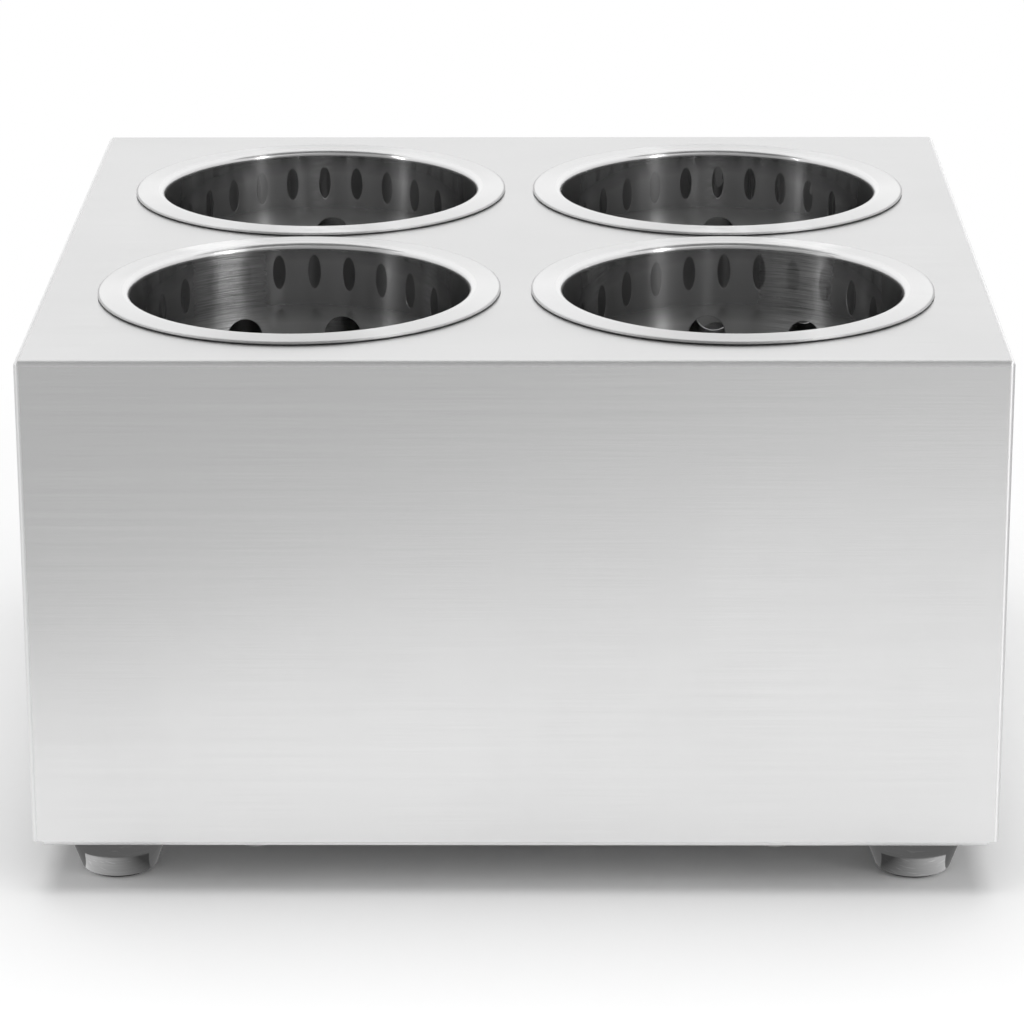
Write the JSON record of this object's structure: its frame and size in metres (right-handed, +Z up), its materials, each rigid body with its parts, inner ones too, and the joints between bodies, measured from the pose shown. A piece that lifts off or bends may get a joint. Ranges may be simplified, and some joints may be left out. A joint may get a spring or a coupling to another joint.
{
  "type": "cutlery holder",
  "caption": "Countertop cutlery holder: folded brushed steel box on tapered feet, with round perforated polished cups that hang by their flanges in the top panel and lift out.",
  "frame": {"origin": "on the floor under the middle of the housing", "axes": "+Z up, +X to the right seen from the front, the front faces -Y"},
  "size_m": [0.27, 0.265, 0.1573],
  "materials": {
    "brushed_housing": "fine brushed stainless sheet, brushed from side to side",
    "polished_cup": "mirror polished stainless sheet with fine polishing lines round the cup",
    "foot_metal": "polished turned metal",
    "plain_sheet": "plain mill-finish stainless sheet",
    "fastener_steel": "bright plated steel",
    "pad_rubber": "matt black rubber"
  },
  "bodies": {
    "housing": {"housing_shell": "brushed_housing", "base_plate": "plain_sheet", "base_screws": "fastener_steel", "clinch_nuts": "fastener_steel", "foot_front_left": "foot_metal", "foot_pad_front_left": "pad_rubber", "foot_washer_front_left": "fastener_steel", "foot_screw_front_left": "fastener_steel", "foot_front_right": "foot_metal", "foot_pad_front_right": "pad_rubber", "foot_washer_front_right": "fastener_steel", "foot_screw_front_right": "fastener_steel", "foot_back_left": "foot_metal", "foot_pad_back_left": "pad_rubber", "foot_washer_back_left": "fastener_steel", "foot_screw_back_left": "fastener_steel", "foot_back_right": "foot_metal", "foot_pad_back_right": "pad_rubber", "foot_washer_back_right": "fastener_steel", "foot_screw_back_right": "fastener_steel"},
    "cup_front_left": {"cup_sleeve_front_left": "polished_cup", "cup_bottom_front_left": "polished_cup"},
    "cup_front_right": {"cup_sleeve_front_right": "polished_cup", "cup_bottom_front_right": "polished_cup"},
    "cup_back_left": {"cup_sleeve_back_left": "polished_cup", "cup_bottom_back_left": "polished_cup"},
    "cup_back_right": {"cup_sleeve_back_right": "polished_cup", "cup_bottom_back_right": "polished_cup"}
  },
  "joints": [
    {"name": "lift_cup_front_left", "type": "slide", "parent": "housing", "child": "cup_front_left", "axis": [0, 0, 1], "range_m": [0, 0.13]},
    {"name": "lift_cup_front_right", "type": "slide", "parent": "housing", "child": "cup_front_right", "axis": [0, 0, 1], "range_m": [0, 0.13]},
    {"name": "lift_cup_back_left", "type": "slide", "parent": "housing", "child": "cup_back_left", "axis": [0, 0, 1], "range_m": [0, 0.13]},
    {"name": "lift_cup_back_right", "type": "slide", "parent": "housing", "child": "cup_back_right", "axis": [0, 0, 1], "range_m": [0, 0.13]}
  ]
}
